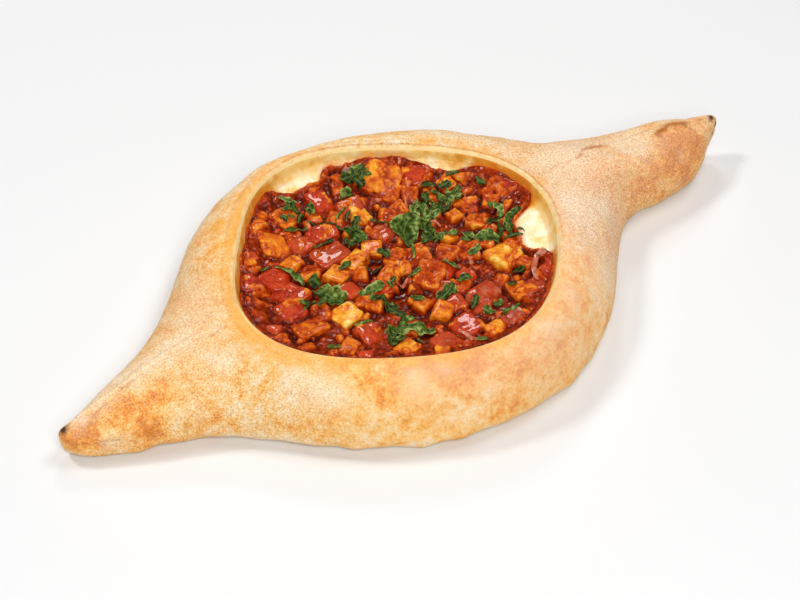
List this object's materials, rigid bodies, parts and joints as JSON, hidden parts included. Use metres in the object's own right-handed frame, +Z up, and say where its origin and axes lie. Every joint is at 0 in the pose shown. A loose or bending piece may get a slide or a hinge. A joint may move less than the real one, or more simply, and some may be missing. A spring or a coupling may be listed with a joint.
{
  "type": "khachapuri",
  "caption": "Boat-shaped open flatbread with a thick pinched rim and pointed ends, filled with melted cheese, a chunky tomato and chicken stew and chopped parsley.",
  "frame": {"origin": "centre of the bounding box's base, on the flat underside of the dough", "axes": "+X towards the right-hand horn, +Y towards the back rim, +Z up"},
  "size_m": [0.3326, 0.1712, 0.0354],
  "materials": {
    "dough_boat": null,
    "melted_cheese": null,
    "stew_filling": null,
    "parsley": null
  },
  "bodies": {
    "root": {"dough_boat": "dough_boat", "melted_cheese": "melted_cheese", "stew_filling": "stew_filling", "parsley_leaf_centre": "parsley", "parsley_leaf_centre_side": "parsley", "parsley_leaf_heap": "parsley", "parsley_leaf_right": "parsley", "parsley_leaf_right_low": "parsley", "parsley_leaf_left": "parsley", "parsley_leaf_left_front": "parsley", "parsley_leaf_left_strand": "parsley", "parsley_leaf_back_left": "parsley", "parsley_leaf_back": "parsley", "parsley_leaf_mid_left": "parsley"}
  },
  "joints": []
}
